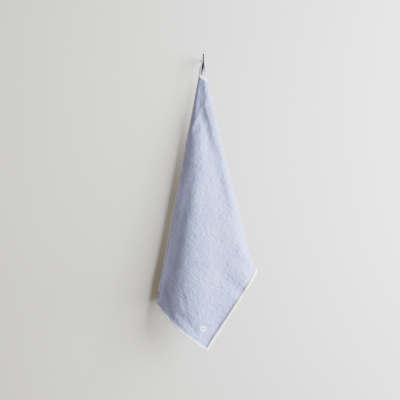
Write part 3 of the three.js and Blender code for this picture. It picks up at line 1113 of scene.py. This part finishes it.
def build_flower():
    bm = bmesh.new()
    for petal in range(PETALS):
        for k in range(THREADS_IN_PETAL):
            lean = k - (THREADS_IN_PETAL - 1) / 2
            angle = 2 * math.pi * petal / PETALS + lean * PETAL_LEAN
            reach = PETAL_TO - abs(lean) * PETAL_ROUNDING
            stitch = satin_mesh(reach - PETAL_FROM)
            way = (math.cos(angle), math.sin(angle))
            middle = (reach + PETAL_FROM) / 2
            spot = (FLOWER_AT[0] + way[0] * middle, FLOWER_AT[1] + way[1] * middle)
            stamp(bm, stitch, on_cloth(*spot, way, LINEN_THICKNESS / 2))
            bpy.data.meshes.remove(stitch)
    return new_object("stitched_flower", bm)


flower = build_flower()
flower.data.materials.append(THREAD)
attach(flower, "root")
print("flower triangles:", triangles(flower))


# %% [markdown]
# ## Camera
# The photo is taken straight on from a few steps away. The towel's tip has its place in the picture, and a
# pixel its size at the towel, so the camera's place and its lens follow from those two and its distance.

# %% Camera
FRAME_PIXELS = 400
METRES_PER_PIXEL = 3.17 * MM
TIP_PIXEL = (201.7, 62.5)
CAMERA_DISTANCE = 2.4
SENSOR = 36

camera_data = bpy.data.cameras.new("camera")
camera = bpy.data.objects.new("camera", camera_data)
bpy.context.scene.collection.objects.link(camera)
bpy.context.scene.camera = camera
middle = FRAME_PIXELS / 2
camera.location = (
    TIP.x + (middle - TIP_PIXEL[0]) * METRES_PER_PIXEL,
    -CAMERA_DISTANCE,
    TIP.z + (TIP_PIXEL[1] - middle) * METRES_PER_PIXEL,
)
camera.rotation_euler = (math.pi / 2, 0, 0)
camera_data.sensor_width = SENSOR
frame_width = FRAME_PIXELS * METRES_PER_PIXEL
camera_data.lens = SENSOR * (CAMERA_DISTANCE + TIP.y) / frame_width
print("lens in millimetres:", round(camera_data.lens, 1))


# %% [markdown]
# ## Light
# A broad window stands on the right. Two large soft lights make it: one in front of the towel, and one
# further to the side that wraps round the right edge. A pale, warm world fills the shade.

# %% Two windows and the world
LIGHT_TARGET = Vector((0, -0.05, -0.45))
WINDOW_COLOUR = (0.97, 0.985, 1.0)
WINDOWS = [
    # name, place in metres, width and height in metres, watts
    ("window", (1.62, -1.72, -0.1), (1.4, 1.5), 275),
    ("side window", (2.0, -0.8, -0.3), (1.1, 1.6), 165),
]
SHADE_FILL = (1.0, 0.85, 0.645, 1)
SHADE_FILL_STRENGTH = 0.56


def soft_light(name, place, size, watts):
    data = bpy.data.lights.new(name, "AREA")
    data.shape = "RECTANGLE"
    data.size, data.size_y = size
    data.energy = watts
    data.color = WINDOW_COLOUR
    lamp = bpy.data.objects.new(name, data)
    lamp.location = place
    lamp.rotation_euler = (LIGHT_TARGET - Vector(place)).to_track_quat("-Z", "Y").to_euler()
    bpy.context.scene.collection.objects.link(lamp)


for row in WINDOWS:
    soft_light(*row)

world = bpy.data.worlds.new("studio")
bpy.context.scene.world = world
world.use_nodes = True
background = world.node_tree.nodes["Background"]
background.inputs["Color"].default_value = SHADE_FILL
background.inputs["Strength"].default_value = SHADE_FILL_STRENGTH
print("watts of window light:", sum(watts for _, _, _, watts in WINDOWS))


# %% [markdown]
# ## Wall and floor
# The ground is plain: one pale plane behind the towel and one far below. The wall's back is clear, so that
# the back of the towel can be looked at too. Neither throws light back on the towel and the wall casts no
# shadow, which keeps the shade as deep as in the photo.

# %% Stage
STAGE_SIZE = 6
WALL_BEHIND = 1 * MM
FLOOR_HEIGHT = -1.5
WALL_TONES = (0.445, 0.442, 0.434, 1), (0.470, 0.467, 0.458, 1)
FLOOR_TONES = (0.43, 0.425, 0.42, 1), (0.455, 0.45, 0.445, 1)
WALL_CLOUDS = 3
FLOOR_CLOUDS = 5


def stage_plane(name, place, tilt, material):
    bm = bmesh.new()
    bmesh.ops.create_grid(bm, x_segments=1, y_segments=1, size=STAGE_SIZE / 2)
    bmesh.ops.rotate(bm, verts=bm.verts, matrix=Matrix.Rotation(tilt, 3, "X"))
    bmesh.ops.translate(bm, verts=bm.verts, vec=place)
    plane = new_object(name, bm, material, smooth=False)
    return plane


def wall_material():
    n = Nodes("pale_wall")
    colour = n.mix_colour(n.noise(n.object_place(), WALL_CLOUDS), *WALL_TONES)
    paint = n.node("ShaderNodeBsdfDiffuse", {}, {"Color": colour})
    clear = n.node("ShaderNodeBsdfTransparent")
    behind = n.node("ShaderNodeNewGeometry", output="Backfacing")
    both = n.node("ShaderNodeMixShader", {}, [behind, paint, clear])
    n.node("ShaderNodeOutputMaterial", {}, {"Surface": both})
    return n.material


def floor_material():
    n = Nodes("pale_floor")
    colour = n.mix_colour(n.noise(n.object_place(), FLOOR_CLOUDS), *FLOOR_TONES)
    return n.finish({"Base Color": colour, "Roughness": 0.8})


wall = stage_plane("backdrop", (0, WALL_BEHIND, 0), math.pi / 2, wall_material())
wall.visible_shadow = False
wall.visible_diffuse = False
floor = stage_plane("floor", (0, 0, FLOOR_HEIGHT), 0, floor_material())
floor.visible_diffuse = False
print("stage:", wall.name, floor.name)
